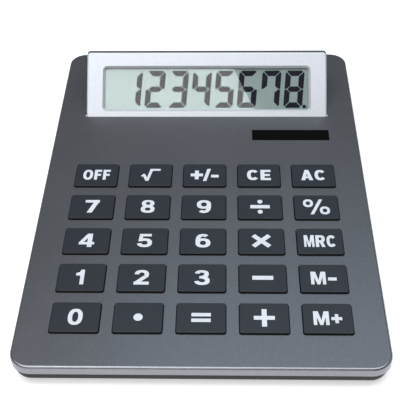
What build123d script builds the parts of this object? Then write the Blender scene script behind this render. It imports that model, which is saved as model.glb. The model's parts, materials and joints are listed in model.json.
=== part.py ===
from build123d import *
import os
from math import atan2, cos, degrees, radians, sin, sqrt

os.makedirs("parts", exist_ok=True)

# A large desk calculator. The origin is the middle of its footprint on the table, +Z is up,
# -Y is the user's side and +Y the display's side. Every size is in millimetres.

# Keys
columns = 5
rows = 5
key_pitch_x = 34.8
key_pitch_y = 29.5
key_width = 27.2
key_depth = 21.0
key_rise = 1.3  # how far a cap stands above the case
key_gap = 0.45  # round a cap, in its window
key_corner = 1.3
key_edge = 0.3
key_travel = 1.3
cap_skin = 1.8
cap_wall = 1.6
flange_overhang = 1.2
flange_thickness = 1.0
flange_gap = 0.1  # under the case's skin
plunger_radius = 3.5

# Layout of the case, from the front edge to the back edge and from the keys to the sides
front_margin = 23.2
side_margin = 19.3
solar_gap = 26.0  # from the keys to the solar window
solar_width = 51.9
solar_depth = 11.1
solar_inset = 0.0  # from the last column's edge
well_gap = 14.5  # from the solar window to the display's well
rear_deck = 26.0  # behind the well
ear_width = 19.0  # beside the display

# Case shells
foot_height = 1.5
lower_height = 8.9
upper_height = 5.6
corner_radius = 11.5
skin = 2.0
upper_wall = 2.2
lower_wall = 2.8
lower_inset = 1.5  # the lower shell stands back from the upper one
floor_thickness = 1.8
top_edge = 1.5
bottom_edge = 5.0
tongue_height = 1.2
tongue_width = 1.0
tongue_gap = 0.1
cut_over = 1.0  # how far a cut runs past the surface it opens

# Display housing, hinged along its bottom edge
tilt = 41.5  # degrees up from flat, as the object stands
tilt_more = 18.0  # degrees further up
face_height = 47.2
housing_depth = 11.0
housing_corner = 2.2
face_edge = 1.2
pivot_inset = 2.0  # from the face and from its bottom edge
pivot_depth = 1.9  # below the top of the case
pin_radius = 1.0
pin_clearance = 0.05
pin_in_housing = 4.5
pin_in_case = 2.6
hinge_block = 3.0  # thickness that carries a pin beside the well
hinge_block_length = 8.0
hinge_block_height = 3.6
housing_gap = 0.4  # between the housing and the well
rear_gap = 0.6
bezel_depth = 6.5
bezel_skin = 1.8
housing_wall = 2.0
cover_rim = 1.2  # the back cover's lip stands over the bezel's top edge
cover_lip_set = 1.0  # from the face down to the lip
cover_skin = 1.6
cover_edge = 1.6
display_width = 142.0
display_height = 29.2
display_bottom = 6.7  # from the face's bottom edge to the window
display_corner = 1.8
display_bevel = 1.5
lens_overlap = 2.0
lens_thickness = 1.0
glass_overlap = 3.6
glass_gap = 0.2
glass_thickness = 1.8
reflector_thickness = 0.2
zebra_depth = 2.2
zebra_height = 2.4
zebra_inset = 4.0  # from each end of the glass
display_board_thickness = 1.2
display_screw_up = 9.0  # from the pivot to the lower screws
display_screw_pitch = 29.0
display_screw_inset = 4.9  # from the housing's side
display_screw_radius = 0.8
display_screw_head_radius = 1.5
display_screw_head = 1.2
display_screw_length = 5.0
display_boss_radius = 2.3
least_corner = 0.3
board_post_spread = 0.7  # of the display board's size, between the posts behind it

# The well that the housing folds into
well_wall = 2.0
well_corner = 0.6
well_floor = 1.2
well_floor_gap = 0.2  # above the lower shell
washer_thickness = 0.3
washer_radius = 1.8

# Inside
board_thickness = 1.6
board_top_below_skin = 6.5
board_gap = 0.8  # to the side bosses
board_corner = 2.0
dome_sheet_thickness = 1.0
dome_base_radius = 5.5
dome_top_radius = 4.2
dome_wall = 0.6
board_screw_head = 1.0
chip_size = 16.0
chip_height = 1.6
chip_leg = 0.3
chip_legs = 12
chip_leg_pitch = 1.1
chip_side = 60.0  # left of the middle
capacitor_radius = 2.5
capacitor_height = 5.0
capacitor_edge = 0.4
solar_cell_thickness = 1.1
solar_cell_overlap = 1.6
solar_window_sink = 0.1
solar_window_gap = 0.05
solar_lead_inset = 2.0
lead_radius = 0.5
lead_bend = 6.0
lead_landing = 3.0  # of a lead on the board
ribbon_width = 24.0
ribbon_thickness = 0.3
ribbon_landing = 4.0  # on the board
ribbon_clear = 2.0  # past the board's edge before it turns down
ribbon_gap = 0.9  # round the ribbon where it leaves the well

# Case screws and their bosses
boss_radius = 3.5
boss_side = 9.5  # from the body's side to a boss
boss_end = 10.0  # from the body's front or back edge to a corner boss
screw_radius = 1.1
screw_hole = 1.3
screw_head_radius = 2.4
screw_head = 1.6
screw_recess = 3.4
screw_head_gap = 0.2
screw_length = 7.4
screw_cover = 1.0  # skin left over the end of a screw hole
recess_span = 1.2  # of the cross recess, in head radii
recess_width = 0.3  # in head radii
recess_depth = 0.6  # of the head's thickness
board_boss_radius = 2.6
board_screw_length = 5.0
post_radius = 1.5

# Feet
foot_radius = 6.0
foot_recess = 0.6
foot_side = 24.0
foot_end = 20.0

# Battery and its door
cell_radius = 5.25
cell_length = 43.5
cell_edge = 0.4
cell_nub_radius = 1.9
cell_nub = 0.9
cell_gap = 0.15
contact_thickness = 0.4
contact_room = 3.4  # for the spring at the negative end
contact_foot = 1.0  # from the floor to the spring's first fold
door_gap = 0.2
door_thickness = 1.4
door_front = 3.5
door_tongue = 1.2
door_tongue_height = 0.7
rail_height = 1.3
rail_width = 4.0
groove_gap = 0.1
bay_wall = 2.0
bay_wall_height = 8.7
contact_width = 8.0
grips = 4
grip_pitch = 1.75
grip_middle = 7.9  # from the door's front edge
grip_length = 16.4
grip_width = 1.2
grip_depth = 0.3
door_rise = 4.0  # of its rear wall above the floor
door_travel = 24.0

# Worked out from the sizes above
field_width = (columns - 1) * key_pitch_x + key_width
field_depth = (rows - 1) * key_pitch_y + key_depth
body_width = field_width + 2 * side_margin
housing_width = body_width - 2 * ear_width
well_width = housing_width + 2 * housing_gap

# Distances from the pivot's axis to the housing's surfaces
face_up = pivot_inset
back_down = housing_depth - pivot_inset
top_reach = face_height - pivot_inset
pivot_to_front = (pivot_inset - face_edge) * sqrt(2) + face_edge
pivot_to_rear = sqrt((top_reach + cover_rim) ** 2 + (back_down - cover_edge) ** 2)
front_wall_gap = pivot_to_front + housing_gap
rear_wall_gap = pivot_to_rear + rear_gap
well_depth = front_wall_gap + rear_wall_gap

body_length = (
    front_margin + field_depth + solar_gap + solar_depth + well_gap + well_depth + rear_deck
)
front_y = -body_length / 2
field_y = front_y + front_margin + field_depth / 2
solar_y = field_y + field_depth / 2 + solar_gap + solar_depth / 2
solar_x = field_width / 2 - solar_inset - solar_width / 2
well_front = solar_y + solar_depth / 2 + well_gap
well_rear = well_front + well_depth
well_y = (well_front + well_rear) / 2
pivot_y = well_front + front_wall_gap

hinge_block_x = well_width / 2 + well_wall + hinge_block / 2

floor_z = foot_height
inside_z = floor_z + floor_thickness
seam_z = floor_z + lower_height
top_z = seam_z + upper_height
skin_z = top_z - skin
pivot_z = top_z - pivot_depth
board_top = skin_z - board_top_below_skin
board_bottom = board_top - board_thickness
tray_bottom = inside_z + well_floor_gap
tray_floor = tray_bottom + well_floor

ribbon_slot_z = tray_floor + 2 * ribbon_gap

key_bottom = skin_z - flange_gap - flange_thickness
sheet_top = board_top + dome_sheet_thickness
key_places = [
    ((column - (columns - 1) / 2) * key_pitch_x, field_y + ((rows - 1) / 2 - row) * key_pitch_y)
    for row in range(rows)
    for column in range(columns)
]
key_names = [
    "key_off", "key_root", "key_sign", "key_clear_entry", "key_all_clear",
    "key_7", "key_8", "key_9", "key_divide", "key_percent",
    "key_4", "key_5", "key_6", "key_multiply", "key_memory_recall",
    "key_1", "key_2", "key_3", "key_minus", "key_memory_minus",
    "key_0", "key_point", "key_equals", "key_plus", "key_memory_plus",
]

boss_x = body_width / 2 - boss_side
boss_ends = body_length / 2 - boss_end
boss_places = [(side * boss_x, y) for side in (-1, 1) for y in (-boss_ends, field_y, boss_ends)]
board_width = 2 * (boss_x - boss_radius - board_gap)
board_front = front_y + front_margin - 2 * flange_overhang
board_rear = solar_y + solar_depth / 2 + solar_cell_overlap
board_y = (board_front + board_rear) / 2
board_screw_places = [
    (side * key_pitch_x, field_y + step * key_pitch_y)
    for side in (-1.5, -0.5, 0.5, 1.5)
    for step in (-1.5, 1.5)
]
chip_place = (-chip_side, solar_y)
capacitor_place = (-chip_side + chip_size, solar_y)
board_post_places = [(side * key_pitch_x, field_y) for side in (-1.5, -0.5, 0.5, 1.5)]
foot_places = {
    "foot_front_left": (-body_width / 2 + foot_side, front_y + foot_end),
    "foot_front_right": (body_width / 2 - foot_side, front_y + foot_end),
    "foot_rear_left": (-body_width / 2 + foot_side, -front_y - foot_end),
    "foot_rear_right": (body_width / 2 - foot_side, -front_y - foot_end),
}

# The cell lies across the rear deck, on the door
cell_y = (well_rear + well_wall + body_length / 2 - lower_inset - lower_wall) / 2
door_top = floor_z + door_thickness
cell_z = door_top + cell_gap + cell_radius
bay_length = cell_length + cell_nub + 2 * contact_thickness + contact_room
bay_left = -bay_length / 2
cell_left = bay_left + contact_thickness + contact_room
door_start = cell_y - cell_radius - door_front
door_end = body_length / 2 - lower_inset
rear_wall_y = door_end - lower_wall
rail_x = (bay_length + rail_width) / 2
rail_y = (door_start + rear_wall_y) / 2
rail_length = rear_wall_y - door_start
bay_top = inside_z + bay_wall_height
contact_top = bay_top + 2 * lead_radius
lead_x = well_width / 2 + well_wall + 3 * lead_radius

# The housing's plane: X to the right, Y up its face, Z out of the face, origin on the pivot
housing_plane = Plane(
    origin=(0, pivot_y, pivot_z),
    x_dir=(1, 0, 0),
    z_dir=(0, -sin(radians(tilt)), cos(radians(tilt))),
)
housing_up = Axis(housing_plane.origin, housing_plane.z_dir)
face_middle = face_height / 2 - pivot_inset
display_middle = display_bottom + display_height / 2 - pivot_inset
bezel_back = face_up - bezel_depth
lens_top = face_up - bezel_skin
glass_top = lens_top - lens_thickness - glass_gap
glass_back = glass_top - glass_thickness
display_board_top = glass_back - zebra_depth
pivot_block_x = (housing_width - pin_in_housing) / 2
glass_width = display_width + 2 * glass_overlap
glass_height = display_height + 2 * glass_overlap
zebra_middle = display_middle + glass_height / 2 - zebra_height / 2
display_screw_places = [
    (side * (housing_width / 2 - display_screw_inset), up)
    for side in (-1, 1)
    for up in (display_screw_up, display_screw_up + display_screw_pitch)
]
screw_seat = -back_down + cover_skin  # under a display screw's head


def save(builder, name):
    builder.part.label = name
    export_step(builder.part, f"parts/{name}.step")


def body_outline(inset, mode=Mode.ADD):
    width = body_width - 2 * inset
    length = body_length - 2 * inset
    RectangleRounded(width, length, corner_radius - inset, mode=mode)


# Upper case: the skin with its windows, the outer wall, the well's tray and the screw bosses
with BuildPart() as upper_case:
    with BuildSketch(Plane.XY.offset(seam_z)):
        body_outline(0)
    extrude(amount=upper_height)
    fillet(upper_case.faces().sort_by(Axis.Z)[-1].edges(), top_edge)
    with BuildSketch(Plane.XY.offset(seam_z)):
        body_outline(upper_wall)
    extrude(amount=upper_height - skin, mode=Mode.SUBTRACT)
    with BuildSketch(Plane.XY.offset(tray_bottom)):
        with Locations((0, well_y)):
            Rectangle(well_width + 2 * well_wall, well_depth + 2 * well_wall)
    extrude(amount=skin_z - tray_bottom)
    with BuildSketch(Plane.XY.offset(tray_floor)):
        with Locations((0, well_y)):
            RectangleRounded(well_width, well_depth, well_corner)
    extrude(amount=top_z - tray_floor, mode=Mode.SUBTRACT)
    with BuildSketch(Plane.XY.offset(seam_z)):
        with Locations(*boss_places):
            Circle(boss_radius)
    extrude(amount=skin_z - seam_z)
    with BuildSketch(Plane.XY.offset(seam_z)):
        with Locations(*boss_places):
            Circle(screw_radius)
    extrude(amount=skin_z - seam_z - screw_cover, mode=Mode.SUBTRACT)
    with BuildSketch(Plane.XY.offset(board_top)):
        with Locations(*board_screw_places):
            Circle(board_boss_radius)
    extrude(amount=skin_z - board_top)
    with BuildSketch(Plane.XY.offset(board_top)):
        with Locations(*board_screw_places):
            Circle(screw_radius)
    extrude(amount=skin_z - board_top - screw_cover, mode=Mode.SUBTRACT)
    with BuildSketch(Plane.XY.offset(skin_z)):
        with Locations(*key_places):
            RectangleRounded(key_width + 2 * key_gap, key_depth + 2 * key_gap, key_corner + key_gap)
        with Locations((solar_x, solar_y)):
            Rectangle(solar_width, solar_depth)
    extrude(amount=skin, mode=Mode.SUBTRACT)
    # Blocks beside the well with the bores for the pivot pins
    with BuildSketch(Plane.XY.offset(skin_z - hinge_block_height)):
        with Locations(*[(side * hinge_block_x, pivot_y) for side in (-1, 1)]):
            Rectangle(hinge_block, hinge_block_length)
    extrude(amount=hinge_block_height)
    for side in (-1, 1):
        with BuildSketch(Plane.YZ.offset(side * well_width / 2)):
            with Locations((pivot_y, pivot_z)):
                Circle(pin_radius + pin_clearance)
        extrude(amount=side * (pin_in_case + pin_clearance), mode=Mode.SUBTRACT)
    # Slot that lets the ribbon out of the well
    with BuildSketch(Plane.XZ.offset(-well_front)):
        with Locations((0, ribbon_slot_z)):
            Rectangle(ribbon_width + 2 * ribbon_gap, 2 * ribbon_gap)
    extrude(amount=well_wall, mode=Mode.SUBTRACT)
save(upper_case, "upper_case")

# Lower case: a tray with a tongue inside the upper case, bosses and the battery bay
with BuildPart() as lower_case:
    with BuildSketch(Plane.XY.offset(floor_z)):
        body_outline(lower_inset)
    extrude(amount=lower_height)
    fillet(lower_case.faces().sort_by(Axis.Z)[0].edges(), bottom_edge)
    with BuildSketch(Plane.XY.offset(inside_z)):
        body_outline(lower_inset + lower_wall)
    extrude(amount=lower_height - floor_thickness, mode=Mode.SUBTRACT)
    with BuildSketch(Plane.XY.offset(seam_z)):
        body_outline(upper_wall + tongue_gap)
        body_outline(upper_wall + tongue_gap + tongue_width, Mode.SUBTRACT)
    extrude(amount=tongue_height)
    with BuildSketch(Plane.XY.offset(inside_z)):
        with Locations(*boss_places):
            Circle(boss_radius)
    extrude(amount=seam_z - inside_z)
    with BuildSketch(Plane.XY.offset(floor_z)):
        with Locations(*boss_places):
            Circle(screw_hole)
    extrude(amount=lower_height, mode=Mode.SUBTRACT)
    with BuildSketch(Plane.XY.offset(floor_z)):
        with Locations(*boss_places):
            Circle(screw_head_radius + screw_head_gap)
    extrude(amount=screw_recess, mode=Mode.SUBTRACT)
    # Posts under the board
    with BuildSketch(Plane.XY.offset(inside_z)):
        with Locations(*board_post_places):
            Circle(post_radius)
    extrude(amount=board_bottom - inside_z)
    # Shallow seats for the feet
    with BuildSketch(Plane.XY.offset(floor_z)):
        with Locations(*foot_places.values()):
            Circle(foot_radius)
    extrude(amount=foot_recess, mode=Mode.SUBTRACT)
    # Rails and end walls of the battery bay
    with BuildSketch(Plane.XY.offset(inside_z)):
        with Locations(*[(side * rail_x, rail_y) for side in (-1, 1)]):
            Rectangle(rail_width, rail_length)
    extrude(amount=rail_height)
    with BuildSketch(Plane.XY.offset(inside_z)):
        with Locations(*[(side * (bay_length + bay_wall) / 2, cell_y) for side in (-1, 1)]):
            Rectangle(bay_wall, 2 * cell_radius)
    extrude(amount=bay_wall_height)
    # Opening for the battery door, through the floor and the rear wall
    with BuildSketch(Plane.XY.offset(floor_z)):
        with Locations((0, door_start - door_gap)):
            Rectangle(bay_length, door_end - door_start + cut_over, align=(Align.CENTER, Align.MIN))
    extrude(amount=floor_thickness, mode=Mode.SUBTRACT)
    with BuildSketch(Plane.XY.offset(floor_z)):
        with Locations((0, rear_wall_y)):
            Rectangle(bay_length, lower_wall + cut_over, align=(Align.CENTER, Align.MIN))
    extrude(amount=floor_thickness + door_rise + door_gap, mode=Mode.SUBTRACT)
    # Grooves for the door's tongues
    with BuildSketch(Plane.XY.offset(door_top - door_tongue_height - groove_gap)):
        with Locations((0, door_start - door_gap)):
            Rectangle(
                bay_length + 2 * door_tongue,
                rear_wall_y - door_start + lower_wall + cut_over,
                align=(Align.CENTER, Align.MIN),
            )
    extrude(amount=door_tongue_height + 2 * groove_gap, mode=Mode.SUBTRACT)
save(lower_case, "lower_case")


def add_screws(seat, places, head_radius, head, radius, length):
    """Adds screws whose heads rest on the plane called seat, with a cross recess in each head."""
    with BuildSketch(seat) as heads:
        with Locations(*places):
            Circle(head_radius)
    extrude(heads.sketch, amount=-head)
    with BuildSketch(seat) as shanks:
        with Locations(*places):
            Circle(radius)
    extrude(shanks.sketch, amount=length)
    with BuildSketch(seat.offset(-head)) as recesses:
        with Locations(*places):
            Rectangle(recess_span * head_radius, recess_width * head_radius)
            Rectangle(recess_width * head_radius, recess_span * head_radius)
    extrude(recesses.sketch, amount=recess_depth * head, mode=Mode.SUBTRACT)


with BuildPart() as case_screws:
    head_seat = Plane.XY.offset(floor_z + screw_recess)
    add_screws(head_seat, boss_places, screw_head_radius, screw_head, screw_radius, screw_length)
save(case_screws, "case_screws")

for foot_name, foot_place in foot_places.items():
    with BuildPart() as foot:
        with BuildSketch(Plane.XY):
            with Locations(foot_place):
                Circle(foot_radius)
        extrude(amount=foot_height + foot_recess)
        fillet(foot.edges().sort_by(Axis.Z)[0], foot_recess)
    save(foot, foot_name)

# Battery door: a plate and a piece of the rear wall, cut from the lower case's own outline
with BuildPart() as battery_door:
    with BuildSketch(Plane.XY.offset(floor_z)):
        body_outline(lower_inset)
    extrude(amount=lower_height)
    fillet(battery_door.faces().sort_by(Axis.Z)[0].edges(), bottom_edge)
    with BuildSketch(Plane.YZ.offset(-bay_length / 2 + door_gap)):
        with BuildLine():
            Polyline(
                (door_start, floor_z),
                (door_end, floor_z),
                (door_end, inside_z + door_rise),
                (rear_wall_y, inside_z + door_rise),
                (rear_wall_y, door_top),
                (door_start, door_top),
                close=True,
            )
        make_face()
    extrude(amount=bay_length - 2 * door_gap, mode=Mode.INTERSECT)
    with BuildSketch(Plane.XY.offset(door_top - door_tongue_height)):
        with Locations((0, door_start)):
            Rectangle(
                bay_length + 2 * door_tongue - 2 * door_gap,
                rear_wall_y - door_start,
                align=(Align.CENTER, Align.MIN),
            )
    extrude(amount=door_tongue_height)
    with BuildSketch(Plane.XY.offset(floor_z)):
        with Locations((0, door_start + grip_middle)):
            with GridLocations(0, grip_pitch, 1, grips):
                SlotOverall(grip_length, grip_width)
    extrude(amount=grip_depth, mode=Mode.SUBTRACT)
save(battery_door, "battery_door")

with BuildPart() as battery_cell:
    with BuildSketch(Plane.YZ.offset(cell_left)):
        with Locations((cell_y, cell_z)):
            Circle(cell_radius)
    extrude(amount=cell_length)
    fillet(battery_cell.edges().filter_by(GeomType.CIRCLE), cell_edge)
    with BuildSketch(Plane.YZ.offset(cell_left + cell_length)):
        with Locations((cell_y, cell_z)):
            Circle(cell_nub_radius)
    extrude(amount=cell_nub)
save(battery_cell, "battery_cell")

with BuildPart() as battery_contact_positive:
    with BuildSketch(Plane.YZ.offset(bay_length / 2)):
        with Locations((cell_y, (inside_z + contact_top) / 2)):
            Rectangle(contact_width, contact_top - inside_z)
    extrude(amount=-contact_thickness)
save(battery_contact_positive, "battery_contact_positive")

# The negative contact is a strip folded into a leaf spring
with BuildPart() as battery_contact_negative:
    with BuildSketch(Plane.XZ.offset(-cell_y - contact_width / 2)):
        with BuildLine():
            FilletPolyline(
                (bay_left + contact_thickness / 2, contact_top),
                (bay_left + contact_thickness / 2, inside_z + contact_foot),
                (cell_left - contact_thickness, cell_z),
                (bay_left + contact_room / 2, cell_z + contact_room),
                radius=2 * contact_thickness,
            )
        trace(line_width=contact_thickness)
    extrude(amount=contact_width)
save(battery_contact_negative, "battery_contact_negative")

with BuildPart() as battery_leads:
    for side in (-1, 1):
        with BuildLine() as route:
            FilletPolyline(
                (side * bay_length / 2, cell_y, bay_top + lead_radius),
                (side * lead_x, cell_y, bay_top + lead_radius),
                (side * lead_x, board_rear + lead_bend, board_top + lead_radius),
                (
                    side * (board_width / 2 - lead_bend),
                    board_rear - lead_landing,
                    board_top + lead_radius,
                ),
                radius=lead_bend,
            )
        with BuildSketch(Plane(origin=route.wire() @ 0, z_dir=route.wire() % 0)):
            Circle(lead_radius)
        sweep(path=route.wire())
save(battery_leads, "battery_leads")

# Main circuit board, hung from the upper case
with BuildPart() as main_circuit_board:
    with BuildSketch(Plane.XY.offset(board_bottom)):
        with Locations((0, board_y)):
            RectangleRounded(board_width, board_rear - board_front, board_corner)
        with Locations(*board_screw_places):
            Circle(screw_hole, mode=Mode.SUBTRACT)
    extrude(amount=board_thickness)
save(main_circuit_board, "main_circuit_board")

with BuildPart() as board_screws:
    add_screws(
        Plane.XY.offset(board_bottom),
        board_screw_places,
        screw_head_radius,
        board_screw_head,
        screw_radius,
        board_screw_length,
    )
save(board_screws, "board_screws")

# One silicone sheet with a hollow dome under each key
dome_taper = degrees(atan2(dome_base_radius - dome_top_radius, key_bottom - sheet_top))
with BuildPart() as dome_sheet:
    with BuildSketch(Plane.XY.offset(board_top)):
        with Locations((0, field_y)):
            RectangleRounded(field_width, field_depth, board_corner)
        with Locations(*board_screw_places):
            Circle(board_boss_radius + groove_gap, mode=Mode.SUBTRACT)
    extrude(amount=dome_sheet_thickness)
    with BuildSketch(Plane.XY.offset(sheet_top)):
        with Locations(*key_places):
            Circle(dome_base_radius)
    extrude(amount=key_bottom - sheet_top, taper=dome_taper)
    with BuildSketch(Plane.XY.offset(board_top)):
        with Locations(*key_places):
            Circle(dome_base_radius - dome_wall)
    extrude(amount=key_bottom - board_top - dome_wall, taper=dome_taper, mode=Mode.SUBTRACT)
save(dome_sheet, "dome_sheet")

with BuildPart() as controller_chip:
    with BuildSketch(Plane.XY.offset(board_top + chip_leg)):
        with Locations(chip_place):
            Rectangle(chip_size, chip_size)
    extrude(amount=chip_height)
    chamfer(controller_chip.faces().sort_by(Axis.Z)[-1].edges(), chip_leg)
    with BuildSketch(Plane.XY.offset(board_top)):
        with Locations(chip_place):
            with GridLocations(0, chip_leg_pitch, 1, chip_legs):
                Rectangle(chip_size + 4 * chip_leg, chip_leg_pitch / 2)
            with GridLocations(chip_leg_pitch, 0, chip_legs, 1):
                Rectangle(chip_leg_pitch / 2, chip_size + 4 * chip_leg)
    extrude(amount=2 * chip_leg)
save(controller_chip, "controller_chip")

with BuildPart() as capacitor:
    with BuildSketch(Plane.XY.offset(board_top)):
        with Locations(capacitor_place):
            Circle(capacitor_radius)
    extrude(amount=capacitor_height)
    fillet(capacitor.edges().sort_by(Axis.Z)[-1], capacitor_edge)
save(capacitor, "capacitor")

# Solar cell under the skin, with its window flush in the case
with BuildPart() as solar_window:
    with BuildSketch(Plane.XY.offset(skin_z)):
        with Locations((solar_x, solar_y)):
            Rectangle(solar_width - 2 * solar_window_gap, solar_depth - 2 * solar_window_gap)
    extrude(amount=skin - solar_window_sink)
save(solar_window, "solar_window")

with BuildPart() as solar_cell:
    with BuildSketch(Plane.XY.offset(skin_z)):
        with Locations((solar_x, solar_y)):
            Rectangle(solar_width + 2 * solar_cell_overlap, solar_depth + 2 * solar_cell_overlap)
    extrude(amount=-solar_cell_thickness)
save(solar_cell, "solar_cell")

with BuildPart() as solar_leads:
    with BuildSketch(Plane.XY.offset(board_top)):
        with Locations((solar_x + solar_width / 2 - solar_lead_inset, solar_y)):
            with GridLocations(0, solar_depth / 2, 1, 2):
                Circle(lead_radius)
    extrude(amount=skin_z - solar_cell_thickness - board_top)
save(solar_leads, "solar_leads")

# Keycaps: a hollow cap with a plunger over its dome, and a flange that the skin holds down
for key_name, key_place in zip(key_names, key_places):
    with BuildPart() as key:
        with BuildSketch(Plane.XY.offset(key_bottom)):
            with Locations(key_place):
                RectangleRounded(key_width, key_depth, key_corner)
        extrude(amount=top_z + key_rise - key_bottom)
        fillet(key.faces().sort_by(Axis.Z)[-1].edges(), key_edge)
        with BuildSketch(Plane.XY.offset(key_bottom)):
            with Locations(key_place):
                RectangleRounded(
                    key_width + 2 * flange_overhang,
                    key_depth + 2 * flange_overhang,
                    key_corner + flange_overhang,
                )
        extrude(amount=flange_thickness)
        with BuildSketch(Plane.XY.offset(key_bottom)):
            with Locations(key_place):
                Rectangle(key_width - 2 * cap_wall, key_depth - 2 * cap_wall)
                Circle(plunger_radius, mode=Mode.SUBTRACT)
        extrude(amount=top_z + key_rise - cap_skin - key_bottom, mode=Mode.SUBTRACT)
    save(key, key_name)


def housing_outline(inset, rise=0, mode=Mode.ADD):
    with Locations((0, face_middle + rise / 2)):
        RectangleRounded(
            housing_width - 2 * inset,
            face_height + rise - 2 * inset,
            max(housing_corner - inset, least_corner),
            mode=mode,
        )


# Front of the display housing: a bezel with a bevelled window, screw bosses and pivot blocks
with BuildPart() as display_bezel:
    with BuildSketch(housing_plane.offset(face_up)):
        housing_outline(0)
    extrude(amount=-bezel_depth)
    fillet(display_bezel.faces().sort_by(housing_up)[-1].edges(), face_edge)
    with BuildSketch(housing_plane.offset(lens_top)):
        housing_outline(housing_wall)
    extrude(amount=bezel_skin - bezel_depth, mode=Mode.SUBTRACT)
    with BuildSketch(housing_plane.offset(lens_top)):
        with Locations(*[(side * pivot_block_x, 0) for side in (-1, 1)]):
            Rectangle(pin_in_housing, 2 * pivot_inset)
    extrude(amount=-lens_top - pivot_inset)
    with BuildSketch(housing_plane.offset(lens_top)):
        with Locations(*display_screw_places):
            Circle(display_boss_radius)
    extrude(amount=bezel_skin - bezel_depth)
    with BuildSketch(housing_plane.offset(bezel_back)):
        with Locations(*display_screw_places):
            Circle(display_screw_radius)
    extrude(amount=bezel_depth - bezel_skin, mode=Mode.SUBTRACT)
    with BuildSketch(housing_plane.offset(face_up)):
        with Locations((0, display_middle)):
            RectangleRounded(display_width, display_height, display_corner)
    extrude(amount=-bezel_skin, mode=Mode.SUBTRACT)
    face = display_bezel.faces().sort_by(housing_up)[-1]
    chamfer(face.inner_wires()[0].edges(), display_bevel)
    for side in (-1, 1):
        with BuildSketch(Plane.YZ.offset(side * (housing_width / 2 - pin_in_housing))):
            with Locations((pivot_y, pivot_z)):
                Circle(pin_radius)
        extrude(amount=side * pin_in_housing, mode=Mode.SUBTRACT)
save(display_bezel, "display_bezel")


def display_layer(name, top, thickness, width, height, opening=None):
    """Saves a flat sheet of the display, with an opening if it has one."""
    with BuildPart() as layer:
        with BuildSketch(housing_plane.offset(top)):
            with Locations((0, display_middle)):
                Rectangle(width, height)
                if opening:
                    RectangleRounded(*opening, mode=Mode.SUBTRACT)
        extrude(amount=-thickness)
    save(layer, name)


display_layer(
    "display_lens",
    lens_top,
    lens_thickness,
    display_width + 2 * lens_overlap,
    display_height + 2 * lens_overlap,
)
display_layer(
    "display_gasket",
    lens_top - lens_thickness,
    glass_gap,
    display_width + 2 * lens_overlap,
    display_height + 2 * lens_overlap,
    (display_width, display_height, display_corner),
)
display_layer("lcd_panel", glass_top, glass_thickness, glass_width, glass_height)
display_layer("lcd_reflector", glass_back, reflector_thickness, display_width, display_height)
display_layer(
    "display_board", display_board_top, display_board_thickness, glass_width, glass_height
)

# Rubber connector from the glass's rear ledge to the display board
with BuildPart() as zebra_connector:
    with BuildSketch(housing_plane.offset(glass_back)):
        with Locations((0, zebra_middle)):
            Rectangle(glass_width - 2 * zebra_inset, zebra_height)
    extrude(amount=-zebra_depth)
save(zebra_connector, "zebra_connector")

# Back cover of the housing, with a lip over the bezel's top edge and a slot for the ribbon
with BuildPart() as display_back_cover:
    with BuildSketch(housing_plane.offset(bezel_back)):
        housing_outline(0, cover_rim)
    extrude(amount=bezel_depth - housing_depth)
    fillet(display_back_cover.faces().sort_by(housing_up)[0].edges(), cover_edge)
    with BuildSketch(housing_plane.offset(bezel_back)):
        housing_outline(0, cover_rim)
        housing_outline(0, mode=Mode.SUBTRACT)
    extrude(amount=bezel_depth - cover_lip_set)
    with BuildSketch(housing_plane.offset(bezel_back)):
        housing_outline(housing_wall)
    extrude(amount=bezel_depth - housing_depth + cover_skin, mode=Mode.SUBTRACT)
    with BuildSketch(housing_plane.offset(bezel_back)):
        with Locations(*display_screw_places):
            Circle(display_boss_radius)
    extrude(amount=bezel_depth - housing_depth + cover_skin)
    with BuildSketch(housing_plane.offset(-back_down)):
        with Locations(*display_screw_places):
            Circle(display_screw_radius + groove_gap)
    extrude(amount=housing_depth - bezel_depth, mode=Mode.SUBTRACT)
    with BuildSketch(housing_plane.offset(-back_down)):
        with Locations(*display_screw_places):
            Circle(display_screw_head_radius + groove_gap)
    extrude(amount=cover_skin, mode=Mode.SUBTRACT)
    with BuildSketch(housing_plane.offset(screw_seat)):
        with Locations((0, display_middle)):
            with GridLocations(board_post_spread * glass_width, board_post_spread * glass_height, 2, 2):
                Circle(post_radius)
    extrude(amount=display_board_top - display_board_thickness - screw_seat)
    with BuildSketch(housing_plane.offset(bezel_back)):
        with Locations((0, housing_wall / 2 - pivot_inset)):
            Rectangle(ribbon_width + 2 * ribbon_gap, housing_wall)
    extrude(amount=-2 * ribbon_gap, mode=Mode.SUBTRACT)
save(display_back_cover, "display_back_cover")

with BuildPart() as display_screws:
    add_screws(
        housing_plane.offset(screw_seat),
        display_screw_places,
        display_screw_head_radius,
        display_screw_head,
        display_screw_radius,
        display_screw_length,
    )
save(display_screws, "display_screws")

# Flat ribbon from the main board, through the well's front wall, into the display housing
with BuildPart() as display_ribbon:
    ribbon_entry = housing_plane.from_local_coords((0, -2 * pivot_inset, bezel_back - ribbon_gap))
    ribbon_end = housing_plane.from_local_coords(
        (0, display_middle - glass_height / 2, bezel_back - ribbon_gap)
    )
    with BuildSketch(Plane.YZ.offset(-ribbon_width / 2)):
        with BuildLine():
            FilletPolyline(
                (board_rear - ribbon_landing, board_top + ribbon_thickness / 2),
                (board_rear + ribbon_clear, board_top + ribbon_thickness / 2),
                (well_front - 2 * well_wall, ribbon_slot_z),
                (well_front + well_wall, ribbon_slot_z),
                (ribbon_entry.Y, ribbon_entry.Z),
                (ribbon_end.Y, ribbon_end.Z),
                radius=4 * ribbon_thickness,
            )
        trace(line_width=ribbon_thickness)
    extrude(amount=ribbon_width)
save(display_ribbon, "display_ribbon")

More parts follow.
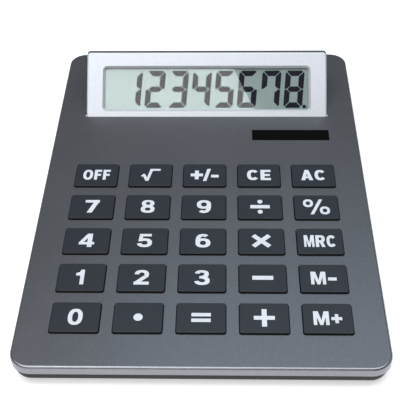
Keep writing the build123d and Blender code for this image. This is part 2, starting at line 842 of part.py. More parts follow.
# Pivot pins, fast in the housing and free in the case, and the washers on them
for side, pin_name in ((-1, "pivot_pin_left"), (1, "pivot_pin_right")):
    with BuildPart() as pin:
        with BuildSketch(Plane.YZ.offset(side * (housing_width / 2 - pin_in_housing))):
            with Locations((pivot_y, pivot_z)):
                Circle(pin_radius)
        extrude(amount=side * (pin_in_housing + housing_gap + pin_in_case))
    save(pin, pin_name)

with BuildPart() as hinge_washers:
    for side in (-1, 1):
        washer_x = housing_width / 2 + (housing_gap - washer_thickness) / 2
        with BuildSketch(Plane.YZ.offset(side * washer_x)):
            with Locations((pivot_y, pivot_z)):
                Circle(washer_radius)
                Circle(pin_radius + pin_clearance, mode=Mode.SUBTRACT)
        extrude(amount=side * washer_thickness)
save(hinge_washers, "hinge_washers")
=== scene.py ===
import json
from math import cos, pi, radians, sin

import bpy
from mathutils import Matrix, Vector
from mathutils.geometry import delaunay_2d_cdt


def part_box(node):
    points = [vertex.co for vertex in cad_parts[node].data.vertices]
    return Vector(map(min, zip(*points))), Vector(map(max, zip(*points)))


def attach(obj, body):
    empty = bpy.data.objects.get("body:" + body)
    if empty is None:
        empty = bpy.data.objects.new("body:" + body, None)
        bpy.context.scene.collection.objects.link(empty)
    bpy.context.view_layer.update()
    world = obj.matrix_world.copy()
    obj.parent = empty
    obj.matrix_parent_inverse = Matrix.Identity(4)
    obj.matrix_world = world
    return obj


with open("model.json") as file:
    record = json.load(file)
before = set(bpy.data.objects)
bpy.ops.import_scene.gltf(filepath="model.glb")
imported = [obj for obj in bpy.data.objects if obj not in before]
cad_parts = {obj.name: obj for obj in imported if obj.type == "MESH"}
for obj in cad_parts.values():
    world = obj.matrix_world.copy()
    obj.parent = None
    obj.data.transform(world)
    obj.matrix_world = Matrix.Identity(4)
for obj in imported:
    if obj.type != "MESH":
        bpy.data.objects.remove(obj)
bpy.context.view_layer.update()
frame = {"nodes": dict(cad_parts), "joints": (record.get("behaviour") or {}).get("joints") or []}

nodes = frame["nodes"]
mm = 0.001
print("frame loaded:", len(nodes), "parts")


def toLinear(hexColour):
    channels = [int(hexColour[i:i + 2], 16) / 255 for i in (1, 3, 5)]
    linear = [c / 12.92 if c <= 0.04045 else ((c + 0.055) / 1.055) ** 2.4 for c in channels]
    return (*linear, 1.0)


def addNode(tree, kind, settings=None, links=None):
    # settings go to the node's properties or sockets by name, "stops" to a colour ramp
    node = tree.nodes.new(kind)
    for name, value in (settings or {}).items():
        if name == "stops":
            stops = node.color_ramp.elements
            while len(stops) < len(value):
                stops.new(1.0)
            for stop, (place, hexColour) in zip(stops, value):
                stop.position = place
                stop.color = toLinear(hexColour)
        elif isinstance(name, int) or name in node.inputs:
            node.inputs[name].default_value = value
        else:
            setattr(node, name, value)
    for name, socket in (links or {}).items():
        tree.links.new(socket, node.inputs[name])
    return node


def startMaterial(name, settings):
    # one Principled shader, and the object's own coordinates in metres for its patterns
    material = bpy.data.materials.new(name)
    material.use_nodes = True
    tree = material.node_tree
    tree.nodes.clear()
    shader = addNode(tree, "ShaderNodeBsdfPrincipled", settings)
    addNode(tree, "ShaderNodeOutputMaterial", links={"Surface": shader.outputs[0]})
    place = addNode(tree, "ShaderNodeTexCoord").outputs["Object"]
    return material, tree, shader, place


def linkShader(tree, shader, sources):
    # the first output of each node, to the shader's socket of that name
    for socket, source in sources.items():
        tree.links.new(source.outputs[0], shader.inputs[socket])


def lacquer(look):
    # sprayed lacquer with aluminium flakes: it takes its light from what it mirrors, so it is
    # dark on the flat and bright on the rounded edges; the flakes give a faint sparkle, and are
    # coarser than real ones, which would be too fine to show
    material, tree, shader, place = startMaterial(look["name"], {"Metallic": look["metallic"]})
    flakes = addNode(tree, "ShaderNodeTexVoronoi", {"Scale": 1 / (look["flake"] * mm)}, {"Vector": place})
    tint = addNode(tree, "ShaderNodeValToRGB", {"stops": [(0.0, look["dark"]), (1.0, look["light"])]},
                   {"Fac": flakes.outputs["Color"]})
    spread = addNode(tree, "ShaderNodeTexNoise", {"Scale": 1 / (35 * mm), "Detail": 2.0},
                     {"Vector": place})
    gloss = addNode(tree, "ShaderNodeMapRange",
                    {"To Min": look["roughness"] - 0.03, "To Max": look["roughness"] + 0.03},
                    {"Value": spread.outputs[0]})
    peel = addNode(tree, "ShaderNodeTexNoise", {"Scale": 1 / (look["peel"] * mm), "Detail": 1.0},
                   {"Vector": place})
    bump = addNode(tree, "ShaderNodeBump", {"Strength": 0.12, "Distance": 0.02 * mm},
                   {"Height": peel.outputs[0]})
    linkShader(tree, shader, {"Base Color": tint, "Roughness": gloss, "Normal": bump})
    return material


def moulded(look):
    # a polymer straight from the mould: an even colour, and the mould's own grain, which breaks
    # up the gloss and is coarser here than the real one, which would be too fine to show
    material, tree, shader, place = startMaterial(look["name"], {"IOR": look["ior"]})
    flow = addNode(tree, "ShaderNodeTexNoise", {"Scale": 1 / (9 * mm), "Detail": 3.0}, {"Vector": place})
    tint = addNode(tree, "ShaderNodeValToRGB", {"stops": [(0.3, look["dark"]), (0.7, look["light"])]},
                   {"Fac": flow.outputs[0]})
    gloss = addNode(tree, "ShaderNodeMapRange",
                    {"To Min": look["roughness"] - 0.05, "To Max": look["roughness"] + 0.05},
                    {"Value": flow.outputs[0]})
    grain = addNode(tree, "ShaderNodeTexNoise", {"Scale": 1 / (look["grain"] * mm), "Detail": 4.0},
                    {"Vector": place})
    bump = addNode(tree, "ShaderNodeBump", {"Strength": look["relief"], "Distance": 0.03 * mm},
                   {"Height": grain.outputs[0]})
    linkShader(tree, shader, {"Base Color": tint, "Roughness": gloss, "Normal": bump})
    return material


def keycap(look):
    # a slate keycap with painted shade on its walls: the tops are an even semi-gloss slate, and
    # the walls below them are painted near black as the shade that falls on them, which sets each key off
    # from the case
    material, tree, shader, place = startMaterial(look["name"], {"IOR": look["ior"]})
    flow = addNode(tree, "ShaderNodeTexNoise", {"Scale": 1 / (9 * mm), "Detail": 3.0}, {"Vector": place})
    normal = addNode(tree, "ShaderNodeNewGeometry").outputs["Normal"]
    facing = addNode(tree, "ShaderNodeSeparateXYZ", links={0: normal})
    upward = addNode(tree, "ShaderNodeMath", {"operation": "MULTIPLY", 1: 0.8}, {0: facing.outputs["Z"]})
    share = addNode(tree, "ShaderNodeMath", {"operation": "MULTIPLY_ADD", 1: 0.1},
                    {0: flow.outputs[0], 2: upward.outputs[0]})
    # faces turned away from up take the near-black colour: painted shade on the key walls
    tint = addNode(tree, "ShaderNodeValToRGB", {"stops": [
        (0.0, look["wall"]), (0.74, look["wall"]), (0.82, look["dark"]), (0.88, look["light"])]},
        {"Fac": share.outputs[0]})
    gloss = addNode(tree, "ShaderNodeMapRange", {
        "From Min": 0.7, "From Max": 0.85, "To Min": look["wallRoughness"], "To Max": look["roughness"]},
        {"Value": share.outputs[0]})
    grain = addNode(tree, "ShaderNodeTexNoise", {"Scale": 1 / (look["grain"] * mm), "Detail": 4.0},
                    {"Vector": place})
    bump = addNode(tree, "ShaderNodeBump", {"Strength": look["relief"], "Distance": 0.03 * mm},
                   {"Height": grain.outputs[0]})
    linkShader(tree, shader, {"Base Color": tint, "Roughness": gloss, "Normal": bump})
    return material


def plated(look):
    # nickel or zinc over steel: a bright metal with slight clouding
    material, tree, shader, place = startMaterial(look["name"], {"Metallic": 1.0})
    clouds = addNode(tree, "ShaderNodeTexNoise", {"Scale": 1 / (1.2 * mm), "Detail": 4.0},
                     {"Vector": place})
    tint = addNode(tree, "ShaderNodeValToRGB", {"stops": [(0.3, look["dark"]), (0.7, look["light"])]},
                   {"Fac": clouds.outputs[0]})
    gloss = addNode(tree, "ShaderNodeMapRange",
                    {"To Min": look["roughness"] - 0.06, "To Max": look["roughness"] + 0.06},
                    {"Value": clouds.outputs[0]})
    linkShader(tree, shader, {"Base Color": tint, "Roughness": gloss})
    return material


def clearSheet(look):
    # cast acrylic: clear or tinted, with polished faces; light passes it without a hard shadow
    material, tree, shader, place = startMaterial(look["name"], {
        "IOR": 1.49,
        "Transmission Weight": 1.0,
    })
    haze = addNode(tree, "ShaderNodeTexNoise", {"Scale": 1 / (12 * mm), "Detail": 2.0}, {"Vector": place})
    tint = addNode(tree, "ShaderNodeValToRGB", {"stops": [(0.0, look["dark"]), (1.0, look["light"])]},
                   {"Fac": haze.outputs[0]})
    gloss = addNode(tree, "ShaderNodeMapRange", {"To Min": 0.0, "To Max": look["haze"]},
                    {"Value": haze.outputs[0]})
    linkShader(tree, shader, {"Base Color": tint, "Roughness": gloss})
    path = addNode(tree, "ShaderNodeLightPath")
    through = addNode(tree, "ShaderNodeBsdfTransparent", {"Color": toLinear(look["light"])})
    output = next(n for n in tree.nodes if n.type == "OUTPUT_MATERIAL")
    both = addNode(tree, "ShaderNodeMixShader", links={
        0: path.outputs["Is Shadow Ray"], 1: shader.outputs[0], 2: through.outputs[0]})
    tree.links.new(both.outputs[0], output.inputs["Surface"])
    return material


def striped(look):
    # a sheet or moulding with fine parallel lines: conductors, cell strips or a connector's layers
    material, tree, shader, place = startMaterial(look["name"], {"IOR": look["ior"]})
    axes = addNode(tree, "ShaderNodeSeparateXYZ", links={0: place})
    pitches = addNode(tree, "ShaderNodeMath", {"operation": "DIVIDE", 1: look["pitch"] * mm},
                      {0: axes.outputs[look["across"]]})
    share = addNode(tree, "ShaderNodeMath", {"operation": "FRACT"}, {0: pitches.outputs[0]})
    lines = addNode(tree, "ShaderNodeValToRGB", {"stops": [
        (0.0, look["line"]), (look["lineShare"], look["line"]),
        (look["lineShare"] + 0.04, look["dark"]), (1.0, look["light"])]}, {"Fac": share.outputs[0]})
    grain = addNode(tree, "ShaderNodeTexNoise", {"Scale": 1 / (3 * mm), "Detail": 3.0}, {"Vector": place})
    gloss = addNode(tree, "ShaderNodeMapRange",
                    {"To Min": look["roughness"] - 0.05, "To Max": look["roughness"] + 0.05},
                    {"Value": grain.outputs[0]})
    linkShader(tree, shader, {"Base Color": lines, "Roughness": gloss})
    return material


def solderMask(look):
    # glass-epoxy board under green solder mask, with the tracks showing as lighter lines
    material, tree, shader, place = startMaterial(look["name"], {"IOR": 1.55, "Coat Weight": 0.3})
    tracks = addNode(tree, "ShaderNodeTexBrick", {
        "Scale": 1 / (6 * mm), "Mortar Size": 0.06, "Mortar Smooth": 0.3,
        "Color1": toLinear(look["dark"]), "Color2": toLinear(look["mid"]),
        "Mortar": toLinear(look["light"])}, {"Vector": place})
    weave = addNode(tree, "ShaderNodeTexNoise", {"Scale": 1 / (0.8 * mm), "Detail": 2.0},
                    {"Vector": place})
    gloss = addNode(tree, "ShaderNodeMapRange", {"To Min": 0.3, "To Max": 0.42},
                    {"Value": weave.outputs[0]})
    linkShader(tree, shader, {"Base Color": tracks, "Roughness": gloss})
    return material


def liquidCrystal(look):
    # polariser film over a reflecting foil: matt grey-green, with a sharp weak mirror in it
    material, tree, shader, place = startMaterial(look["name"], {
        "Metallic": look["metallic"], "IOR": 1.5})
    cloud = addNode(tree, "ShaderNodeTexNoise", {"Scale": 1 / (30 * mm), "Detail": 1.0},
                    {"Vector": place})
    tint = addNode(tree, "ShaderNodeValToRGB", {"stops": [(0.3, look["dark"]), (0.7, look["light"])]},
                   {"Fac": cloud.outputs[0]})
    gloss = addNode(tree, "ShaderNodeMapRange",
                    {"To Min": look["roughness"] - 0.01, "To Max": look["roughness"] + 0.01},
                    {"Value": cloud.outputs[0]})
    linkShader(tree, shader, {"Base Color": tint, "Roughness": gloss})
    return material


finishes = {
    # gunmetal lacquer over ABS
    "case": lacquer({"name": "gunmetalLacquer", "dark": "#838489", "light": "#8e8f94", "metallic": 0.82,
                     "roughness": 0.3, "flake": 0.7, "peel": 2.5}),
    # pearl silver lacquer over ABS: nearly white in soft light
    "bezel": lacquer({"name": "pearlSilverLacquer", "dark": "#c7cad0", "light": "#d1d4d9",
                      "metallic": 0.25, "roughness": 0.35, "flake": 0.7, "peel": 3.0}),
    # black ABS with a spark-eroded grain: matt, catches a dull edge light
    "blackAbs": moulded({"name": "blackAbs", "dark": "#0e0e0f", "light": "#131314", "ior": 1.53,
                         "roughness": 0.62, "grain": 0.9, "relief": 0.5}),
    # dark grey ABS, smoother
    "greyAbs": moulded({"name": "darkGreyAbs", "dark": "#26282c", "light": "#2e3035", "ior": 1.53,
                        "roughness": 0.42, "grain": 0.9, "relief": 0.3}),
    # slate keycaps, their walls painted near black as shade
    "keys": keycap({"name": "slateKeysShadedWalls", "dark": "#25282f", "light": "#2b2e36", "wall": "#08080a",
                    "ior": 1.53, "roughness": 0.36, "wallRoughness": 0.6, "grain": 0.8, "relief": 0.2}),
    # pad-printed white ink: thick, even, slightly soft in gloss
    "ink": moulded({"name": "whitePadInk", "dark": "#d6dbe3", "light": "#e0e5ec", "ior": 1.5,
                    "roughness": 0.5, "grain": 0.5, "relief": 0.1}),
    # clear cast acrylic: seen only by what it mirrors
    "lens": clearSheet({"name": "clearAcrylic", "dark": "#fbfdfd", "light": "#ffffff", "haze": 0.01}),
    # smoke-tinted acrylic: nearly black over the cell
    "solarWindow": clearSheet({"name": "smokeAcrylic", "dark": "#5a4640", "light": "#66514a",
                               "haze": 0.05}),
    # polariser over foil: grey-green, with the room's brighter parts showing in it
    "lcd": liquidCrystal({"name": "polariserFilm", "dark": "#8b9a96", "light": "#92a19d",
                          "metallic": 0.42, "roughness": 0.05}),
    # amorphous silicon: near-black strips with thin paler joints
    "solarCell": striped({"name": "amorphousSilicon", "across": 0, "pitch": 10.3, "lineShare": 0.04,
                          "line": "#4a3a36", "dark": "#1c1311", "light": "#221815", "ior": 1.5,
                          "roughness": 0.3}),
    # polyester ribbon with its conductors showing through
    "ribbon": striped({"name": "polyesterRibbon", "across": 0, "pitch": 1.25, "lineShare": 0.4,
                       "line": "#9aa0a4", "dark": "#d8d6cc", "light": "#dcdad0", "ior": 1.57,
                       "roughness": 0.4}),
    # layered silicone connector: carbon and clear layers side by side
    "zebra": striped({"name": "layeredSilicone", "across": 0, "pitch": 0.5, "lineShare": 0.45,
                      "line": "#141414", "dark": "#c4c2ba", "light": "#cbc9c1", "ior": 1.41,
                      "roughness": 0.5}),
    # green solder mask: glossy, with paler tracks under it
    "board": solderMask({"name": "greenSolderMask", "dark": "#0f4526", "mid": "#124a2a",
                         "light": "#2b6b42"}),
    # natural silicone, moulded: pale, waxy
    "silicone": moulded({"name": "mouldedSilicone", "dark": "#b9bbb9", "light": "#c6c8c6", "ior": 1.41,
                         "roughness": 0.5, "grain": 1.2, "relief": 0.2}),
    # nitrile rubber feet: dull, slightly dusty
    "rubber": moulded({"name": "nitrileRubber", "dark": "#1b1b1c", "light": "#262627", "ior": 1.52,
                       "roughness": 0.72, "grain": 1.0, "relief": 0.6}),
    # closed-cell foam tape: black and quite matt
    "foam": moulded({"name": "blackFoamTape", "dark": "#101011", "light": "#18181a", "ior": 1.3,
                     "roughness": 0.85, "grain": 0.4, "relief": 0.8}),
    # moulded epoxy: charcoal, with a stony surface
    "epoxy": moulded({"name": "mouldedEpoxy", "dark": "#17181a", "light": "#1e1f22", "ior": 1.55,
                      "roughness": 0.55, "grain": 0.5, "relief": 0.4}),
    # shrunk PVC sleeve: smooth and glossy, dark blue
    "sleeve": moulded({"name": "shrunkPvcSleeve", "dark": "#1c2b52", "light": "#223260", "ior": 1.53,
                       "roughness": 0.28, "grain": 1.5, "relief": 0.1}),
    # PVC wire insulation: red, soft gloss
    "insulation": moulded({"name": "pvcInsulation", "dark": "#7a1713", "light": "#8a1d18", "ior": 1.53,
                           "roughness": 0.38, "grain": 1.0, "relief": 0.1}),
    # zinc-plated screws and nickel-plated springs
    "zinc": plated({"name": "zincPlatedSteel", "dark": "#a3a6a8", "light": "#c2c5c8", "roughness": 0.34}),
    "nickel": plated({"name": "nickelPlatedSteel", "dark": "#b9b4a8", "light": "#d0ccc2",
                      "roughness": 0.22}),
    # rolled aluminium foil: pale, broad soft mirror
    "foil": plated({"name": "aluminiumFoil", "dark": "#d3d6d6", "light": "#e4e6e6", "roughness": 0.4}),
}

finishOfPart = {
    "upper_case": "case", "display_bezel": "bezel", "display_back_cover": "greyAbs",
    "lower_case": "blackAbs", "battery_door": "blackAbs", "display_lens": "lens",
    "display_gasket": "foam", "lcd_panel": "lcd", "lcd_reflector": "foil", "zebra_connector": "zebra",
    "display_board": "board", "main_circuit_board": "board", "display_ribbon": "ribbon",
    "display_screws": "zinc", "case_screws": "zinc", "board_screws": "zinc",
    "pivot_pin_left": "nickel", "pivot_pin_right": "nickel", "hinge_washers": "nickel",
    "solar_window": "solarWindow", "solar_cell": "solarCell", "solar_leads": "insulation",
    "battery_leads": "insulation", "battery_cell": "sleeve", "battery_contact_positive": "nickel",
    "battery_contact_negative": "nickel", "dome_sheet": "silicone", "controller_chip": "epoxy",
    "capacitor": "sleeve",
}
for name, node in nodes.items():
    if name.startswith("key_"):
        finish = "keys"
    elif name.startswith("foot_"):
        finish = "rubber"
    else:
        finish = finishOfPart[name]
    node.data.materials.clear()
    node.data.materials.append(finishes[finish])
print("finishes on", len(nodes), "parts")


def bar(left, bottom, right, top):
    return [(left, bottom), (right, bottom), (right, top), (left, top)]


def bow(centre, radii, stroke, start, end, fullness=2.35, steps=20):
    # a stroke bent along part of a rounded oval, from one angle to another in degrees
    outer, inner = [], []
    for step in range(steps + 1):
        angle = radians(start + (end - start) * step / steps)
        across = abs(cos(angle)) ** (2 / fullness) * (1 if cos(angle) >= 0 else -1)
        along = abs(sin(angle)) ** (2 / fullness) * (1 if sin(angle) >= 0 else -1)
        outer.append((centre[0] + radii[0] * across, centre[1] + radii[1] * along))
        inner.append((centre[0] + (radii[0] - stroke[0]) * across,
                      centre[1] + (radii[1] - stroke[1]) * along))
    return outer + inner[::-1]


def ring(centre, radii, stroke, fullness=2.35):
    return [bow(centre, radii, stroke, 0, 180, fullness), bow(centre, radii, stroke, 180, 360, fullness)]


def mirrored(outline):
    return [(1 - x, y) for x, y in outline]


def turned(outline):
    return [(1 - x, 1 - y) for x, y in outline]


def flatMesh(name, outlines, toPlace, thickness, material, body):
    # the union of the outlines, as a thin plate standing on the surface at toPlace
    points, faces = [], []
    for outline in outlines:
        area = sum(a[0] * b[1] - a[1] * b[0] for a, b in zip(outline, outline[1:] + outline[:1]))
        faces.append(list(range(len(points), len(points) + len(outline))))
        points += [Vector(p) for p in (outline if area > 0 else outline[::-1])]
    flat, _, triangles, _, _, sources = delaunay_2d_cdt(points, [], faces, 0, 1e-5)
    kept = [t for t, source in zip(triangles, sources) if source]
    sides = {}
    for t in kept:
        for a, b in zip(t, t[1:] + t[:1]):
            sides[(a, b)] = sides.get((b, a), 0) == 0
            if (b, a) in sides:
                sides[(a, b)] = sides[(b, a)] = False
    count = len(flat)
    vertices = [toPlace @ Vector((*p, z)) for z in (-thickness / 3, thickness) for p in flat]
    polygons = [[i + count for i in t] for t in kept] + [list(reversed(t)) for t in kept]
    polygons += [[a, b, b + count, a + count] for (a, b), edge in sides.items() if edge]
    mesh = bpy.data.meshes.new(name)
    mesh.from_pydata(vertices, [], polygons)
    mesh.validate()
    piece = bpy.data.objects.new(name, mesh)
    bpy.context.scene.collection.objects.link(piece)
    mesh.materials.append(material)
    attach(piece, body)


# Heavy, wide sans characters, each in a box one wide and one high
stem, beam = 0.30, 0.185  # upright and level stroke, as shares of the box
letterStem = 0.32
six = ring((0.5, 0.335), (0.5, 0.335), (stem, 0.175)) + [
    bow((0.5, 0.5), (0.5, 0.5), (stem, beam), 50, 180), bar(0, 0.33, stem, 0.5)]
characters = {
    "0": (0.72, ring((0.5, 0.5), (0.5, 0.5), (stem, beam))),
    "1": (0.6, [bar(0.40, 0, 0.40 + 1.2 * stem, 1),
                [(0.0, 0.60), (0.42, 0.60), (0.55, 1), (0.44, 1), (0.30, 0.83), (0.0, 0.77)]]),
    "2": (0.78, [bow((0.5, 0.69), (0.48, 0.31), (stem, 0.17), -38, 178),
                 [(0.62, 0.60), (0.87, 0.49), (0.46, 0.19), (0.0, 0.0), (0.0, 0.15)], bar(0, 0, 1, 0.2)]),
    "3": (0.78, [bow((0.48, 0.735), (0.46, 0.265), (stem, 0.16), -90, 172),
                 bow((0.5, 0.29), (0.5, 0.29), (stem, 0.175), -174, 90), bar(0.32, 0.435, 0.55, 0.60)]),
    "4": (0.82, [bar(0.55, 0, 0.55 + stem, 1), bar(0, 0.19, 1, 0.37),
                 [(0, 0.34), (0.52, 1), (0.62, 1), (0.62, 0.74), (0.27, 0.34)]]),
    "5": (0.78, [bar(0.14, 0.81, 0.94, 1), [(0.14, 1), (0.06, 0.44), (0.33, 0.44), (0.38, 0.9)],
                 bow((0.49, 0.33), (0.51, 0.33), (stem, 0.18), -172, 138)]),
    "6": (0.78, six),
    "7": (0.78, [bar(0, 0.8, 1, 1), [(0.62, 0.86), (1, 0.86), (0.86, 0.66), (0.54, 0), (0.18, 0)]]),
    "8": (0.78, ring((0.5, 0.74), (0.46, 0.26), (stem, 0.15))
          + ring((0.5, 0.29), (0.5, 0.29), (stem, 0.17))),
    "9": (0.78, [turned(outline) for outline in six]),
    "O": (0.84, ring((0.5, 0.5), (0.5, 0.5), (stem, 0.2))),
    "F": (0.62, [bar(0, 0, 0.42, 1), bar(0, 0.79, 1, 1), bar(0, 0.39, 0.92, 0.59)]),
    "E": (0.72, [bar(0, 0, 0.40, 1), bar(0, 0.79, 1, 1), bar(0, 0.40, 0.92, 0.59), bar(0, 0, 1, 0.21)]),
    "C": (0.82, [bow((0.51, 0.5), (0.51, 0.5), (0.32, 0.22), 38, 322)]),
    "A": (0.9, [[(0, 0), (0.33, 0), (0.54, 0.78), (0.6, 1), (0.34, 1)],
                mirrored([(0, 0), (0.33, 0), (0.54, 0.78), (0.6, 1), (0.34, 1)]),
                bar(0.2, 0.19, 0.8, 0.37)]),
    "M": (0.9, [bar(0, 0, 0.22, 1), bar(0.78, 0, 1, 1), [(0.08, 1), (0.32, 1), (0.59, 0), (0.41, 0)],
                mirrored([(0.08, 1), (0.32, 1), (0.59, 0), (0.41, 0)])]),
    "R": (0.84, [bar(0, 0, 0.34, 1), bar(0.2, 0.81, 0.6, 1), bar(0.2, 0.39, 0.6, 0.57),
                 bow((0.56, 0.695), (0.42, 0.305), (0.34, 0.19), -90, 90),
                 [(0.36, 0.5), (0.72, 0.5), (1, 0), (0.64, 0)]]),
    "-": (0.52, [bar(0, 0.31, 1, 0.55)]),
    "+": (0.62, [bar(0, 0.36, 1, 0.58), bar(0.34, 0.14, 0.66, 0.80)]),
}
# Signs that fill a whole keytop, drawn in the same way
signs = {
    "root": [[(0, 0.42), (0.14, 0.60), (0.21, 0.55), (0.32, 0.27), (0.47, 1), (1, 1), (1, 0.84),
              (0.60, 0.84), (0.41, 0), (0.25, 0), (0.11, 0.38), (0.05, 0.34)]],
    "changeSign": [bar(0, 0.38, 0.44, 0.61), bar(0.15, 0.14, 0.29, 0.85), bar(0.73, 0.29, 1, 0.51),
                   [(0.44, 0), (0.565, 0), (0.72, 1), (0.595, 1)]],
    "divide": [bar(0, 0.38, 1, 0.62)] + ring((0.5, 0.865), (0.13, 0.135), (0.129, 0.134), 2)
              + ring((0.5, 0.135), (0.13, 0.135), (0.129, 0.134), 2),
    "percent": ring((0.19, 0.74), (0.19, 0.26), (0.105, 0.135))
               + ring((0.81, 0.26), (0.19, 0.26), (0.105, 0.135))
               + [[(0.25, 0), (0.38, 0), (0.75, 1), (0.62, 1)]],
    "times": [[(0, 0.82), (0.18, 1), (1, 0.18), (0.82, 0)], [(0, 0.18), (0.18, 0), (1, 0.82), (0.82, 1)]],
    "minus": [bar(0, 0, 1, 1)],
    "equals": [bar(0, 0, 1, 0.38), bar(0, 0.62, 1, 1)],
    "plus": [bar(0, 0.39, 1, 0.61), bar(0.38, 0, 0.62, 1)],
    "point": ring((0.5, 0.5), (0.5, 0.5), (0.499, 0.499), 2),
}
# ink in mm, and the space between letters as a share of their height
legend = {"thickness": 0.03, "gap": 0.13}
legends = {  # what is printed on each key, with its width and height in mm
    "key_off": ("OFF", 17.4, 9.5), "key_root": ("root", 12.3, 11.5),
    "key_sign": ("changeSign", 18.0, 11.7),
    "key_clear_entry": ("CE", 15.2, 9.8), "key_all_clear": ("AC", 15.7, 9.8),
    "key_7": ("7", 8.9, 11.3), "key_8": ("8", 8.5, 11.4), "key_9": ("9", 8.8, 11.4),
    "key_divide": ("divide", 12.0, 12.3), "key_percent": ("percent", 16.2, 13.3),
    "key_4": ("4", 9.2, 11.1), "key_5": ("5", 8.8, 11.0), "key_6": ("6", 8.9, 11.2),
    "key_multiply": ("times", 11.7, 11.1), "key_memory_recall": ("MRC", 18.9, 9.7),
    "key_1": ("1", 6.3, 11.3), "key_2": ("2", 8.7, 11.2), "key_3": ("3", 8.8, 11.3),
    "key_minus": ("minus", 12.0, 3.0), "key_memory_minus": ("M-", 14.7, 9.7),
    "key_0": ("0", 8.2, 11.4), "key_point": ("point", 5.1, 5.2), "key_equals": ("equals", 10.7, 6.4),
    "key_plus": ("plus", 11.6, 12.3), "key_memory_plus": ("M+", 15.8, 9.7),
}


def setWord(word):
    # outlines of a word in a box one wide and one high
    if word in signs:
        return signs[word]
    total = sum(characters[c][0] for c in word) + legend["gap"] * (len(word) - 1)
    outlines, left = [], 0
    for c in word:
        share, shapes = characters[c]
        outlines += [[((left + share * x) / total, y) for x, y in shape] for shape in shapes]
        left += share + legend["gap"]
    return outlines


for keyName, (word, width, height) in legends.items():
    low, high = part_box(keyName)
    corner = Vector(((low.x + high.x - width * mm) / 2, (low.y + high.y - height * mm) / 2, high.z))
    toPlace = Matrix.Translation(corner) @ Matrix.Scale(mm, 4)
    outlines = [[(x * width, y * height) for x, y in outline] for outline in setWord(word)]
    flatMesh("legend_" + keyName[4:], outlines, toPlace, legend["thickness"], finishes["ink"], keyName)
print("legends on", len(legends), "keys")

# The display: eight slanted digits of seven segments
tiltJoint = next(j for j in frame["joints"] if j["name"] == "display_tilt")
tilt = radians(-tiltJoint["range_deg"][0])  # it folds flat at that limit
upFace = Vector((0, cos(tilt), sin(tilt)))
outOfFace = Vector((0, -sin(tilt), cos(tilt)))
digits = {"shown": "12345678", "width": 13.2, "height": 26.3, "pitch": 16.15, "stroke": 3.85, "gap": 0.5,
          "corner": 1.9, "slant": 4.6, "rightEdge": 68.7, "thickness": 0.04, "point": 2.3,
          "pointAside": 0.35, "pointDrop": 0.3}
segmentsOf = {"1": "bc", "2": "abged", "3": "abgcd", "4": "fgbc", "5": "afgcd", "6": "afgecd",
              "7": "fabc", "8": "abcdefg"}


def segmentOutlines():
    w, h, t = digits["width"], digits["height"], digits["stroke"]
    middle = h / 2
    cut = digits["corner"] / 2
    slope = digits["gap"] / 2 ** 0.5  # along a level line, over half the gap at 45 degrees
    tip = 0.35 * t
    a = [(2 * cut, h), (w - 2 * cut, h), (w - cut - slope / 2, h - cut + slope / 2),
         (w - t - slope, h - t), (t + slope, h - t), (cut + slope / 2, h - cut + slope / 2)]
    b = [(w - cut + slope / 2, h - cut - slope / 2), (w, h - 2 * cut), (w, middle + slope),
         (w - tip, middle + slope / 2), (w - t, middle + t / 2 + slope), (w - t, h - t - slope)]
    g = [(0.52 * t, middle), (t, middle + t / 2), (w - t, middle + t / 2), (w - 0.52 * t, middle),
         (w - t, middle - t / 2), (t, middle - t / 2)]
    flipX = lambda outline: [(w - x, y) for x, y in outline]
    flipY = lambda outline: [(x, h - y) for x, y in outline]
    return {"a": a, "b": b, "c": flipY(b), "d": flipY(a), "e": flipX(flipY(b)), "f": flipX(b), "g": g}


lcd = nodes["lcd_panel"].data.vertices
frontOfGlass = max(v.co.dot(outOfFace) for v in lcd)
middleOfGlass = (max(v.co.dot(upFace) for v in lcd) + min(v.co.dot(upFace) for v in lcd)) / 2
origin = upFace * middleOfGlass + outOfFace * frontOfGlass
toGlass = Matrix((
    (mm, 0, 0, origin.x),
    (0, upFace.y * mm, outOfFace.y * mm, origin.y),
    (0, upFace.z * mm, outOfFace.z * mm, origin.z),
    (0, 0, 0, 1),
))
# nematic segments: a flat, very dark blue-grey without gloss of its own
segmentInk, segmentTree, segmentShader, segmentPlace = startMaterial(
    "nematicSegments", {"Roughness": 0.4, "Specular IOR Level": 0.05})
segmentCloud = addNode(segmentTree, "ShaderNodeTexNoise", {"Scale": 1 / (6 * mm)},
                       {"Vector": segmentPlace})
segmentTint = addNode(segmentTree, "ShaderNodeValToRGB", {"stops": [(0.3, "#050610"), (0.7, "#08091a")]},
                      {"Fac": segmentCloud.outputs[0]})
linkShader(segmentTree, segmentShader, {"Base Color": segmentTint})
lean = sin(radians(digits["slant"])) / cos(radians(digits["slant"]))
shapes = segmentOutlines()
for place, digit in enumerate(digits["shown"]):
    fromRight = (len(digits["shown"]) - 1 - place) * digits["pitch"]
    left = digits["rightEdge"] - digits["width"] - fromRight
    outlines = [
        [(left + x + (y - digits["height"]) * lean, y - digits["height"] / 2) for x, y in shapes[segment]]
        for segment in segmentsOf[digit]
    ]
    if place == len(digits["shown"]) - 1:
        right = digits["rightEdge"] - digits["height"] * lean + digits["pointAside"]
        foot = -digits["height"] / 2 - digits["pointDrop"]
        outlines.append(bar(right, foot, right + digits["point"], foot + digits["point"]))
    flatMesh("segments_" + digit, outlines, toGlass, digits["thickness"], segmentInk, "display")
print("display digits set")

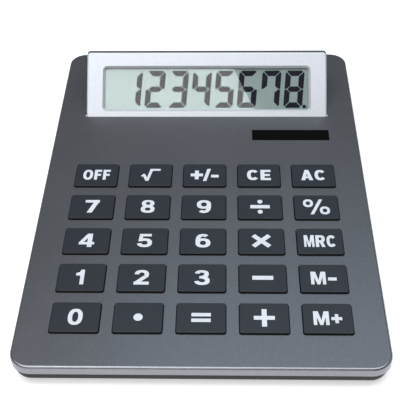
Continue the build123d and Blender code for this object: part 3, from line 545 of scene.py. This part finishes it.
camera = {"x": 0.0126, "y": -0.4395, "z": 0.4152, "lens": 83.6,
          "yaw": 2.05, "pitch": 43.26, "roll": 1.275}
yaw, pitch, roll = (radians(camera[angle]) for angle in ("yaw", "pitch", "roll"))
forward = Vector((-sin(yaw) * cos(pitch), cos(yaw) * cos(pitch), -sin(pitch)))
level = Vector((cos(yaw), sin(yaw), 0))
below = forward.cross(level)
right = cos(roll) * level + sin(roll) * below
down = -sin(roll) * level + cos(roll) * below
lensData = bpy.data.cameras.new("camera")
lensData.lens = camera["lens"]
lensData.clip_start = 0.01
cameraObject = bpy.data.objects.new("camera", lensData)
cameraObject.matrix_world = Matrix.Translation((camera["x"], camera["y"], camera["z"])) @ Matrix((
    (right.x, -down.x, -forward.x, 0),
    (right.y, -down.y, -forward.y, 0),
    (right.z, -down.z, -forward.z, 0),
    (0, 0, 0, 1),
))
bpy.context.scene.collection.objects.link(cameraObject)
bpy.context.scene.camera = cameraObject

scene = bpy.context.scene
scene.view_settings.view_transform = "Standard"

# opal acrylic shooting table, lit a little from below
floorSize = 12.0
floorGap = 0.0001  # keeps the feet's faces clear of it
tableGlow = 0.45
floorMesh = bpy.data.meshes.new("floor")
floorCorners = ((-1, -1), (1, -1), (1, 1), (-1, 1))
floorMesh.from_pydata([(x * floorSize, y * floorSize, -floorGap) for x, y in floorCorners],
                      [], [(0, 1, 2, 3)])
floor = bpy.data.objects.new("floor", floorMesh)
scene.collection.objects.link(floor)
shootingTable = moulded({"name": "opalAcrylic", "dark": "#f3f3f3", "light": "#f7f7f7", "ior": 1.49,
                         "roughness": 0.8, "grain": 2.0, "relief": 0.05})
tableShader = next(n for n in shootingTable.node_tree.nodes if n.type == "BSDF_PRINCIPLED")
tableShader.inputs["Emission Color"].default_value = (1, 1, 1, 1)
tableShader.inputs["Emission Strength"].default_value = tableGlow
floorMesh.materials.append(shootingTable)

world = bpy.data.worlds.new("studio")
world.use_nodes = True
backdrop = world.node_tree.nodes["Background"]
backdrop.inputs["Color"].default_value = toLinear("#f4f6fa")
backdrop.inputs["Strength"].default_value = 0.1
scene.world = world


def softPanel(name, size, centre, aim, radiance, hexColour, turn=0):
    # a rectangular panel of even brightness; radiance 1 shows as white
    data = bpy.data.lights.new(name, "AREA")
    data.shape = "RECTANGLE"
    data.size, data.size_y = size
    data.energy = pi * size[0] * size[1] * radiance
    data.color = toLinear(hexColour)[:3]
    panel = bpy.data.objects.new(name, data)
    direction = Vector(aim) - Vector(centre)
    facing = direction.to_track_quat("-Z", "Y").to_matrix().to_4x4()
    panel.matrix_world = Matrix.Translation(centre) @ facing @ Matrix.Rotation(radians(turn), 4, "Z")
    scene.collection.objects.link(panel)


softPanel("overhead", (2.4, 0.95), (0, -0.09, 1.6), (0, -0.09, 0), 3.6, "#fafcff")
softPanel("front", (1.6, 0.9), (-0.5, -1.5, 1.3), (0, 0, 0), 0.9, "#fafcff")
softPanel("rear", (1.8, 0.9), (0.6, 0.95, 1.55), (0.6, 0.95, 0), 0.7, "#c6e0f0")
# the card that the display mirrors; its right edge crosses the display aslant
cardTurn = 24.5
cardEdge = Vector((0.0539, -0.5765, 1.2))
cardSize = (1.2, 1.1)
inward = Vector((-cos(radians(cardTurn)), -sin(radians(cardTurn)), 0))
softPanel("card", cardSize, cardEdge + inward * cardSize[0] / 2, cardEdge + inward * cardSize[0] / 2
          - Vector((0, 0, 1)), 1.7, "#ffffff", turn=cardTurn)
print("camera, floor and lights set")
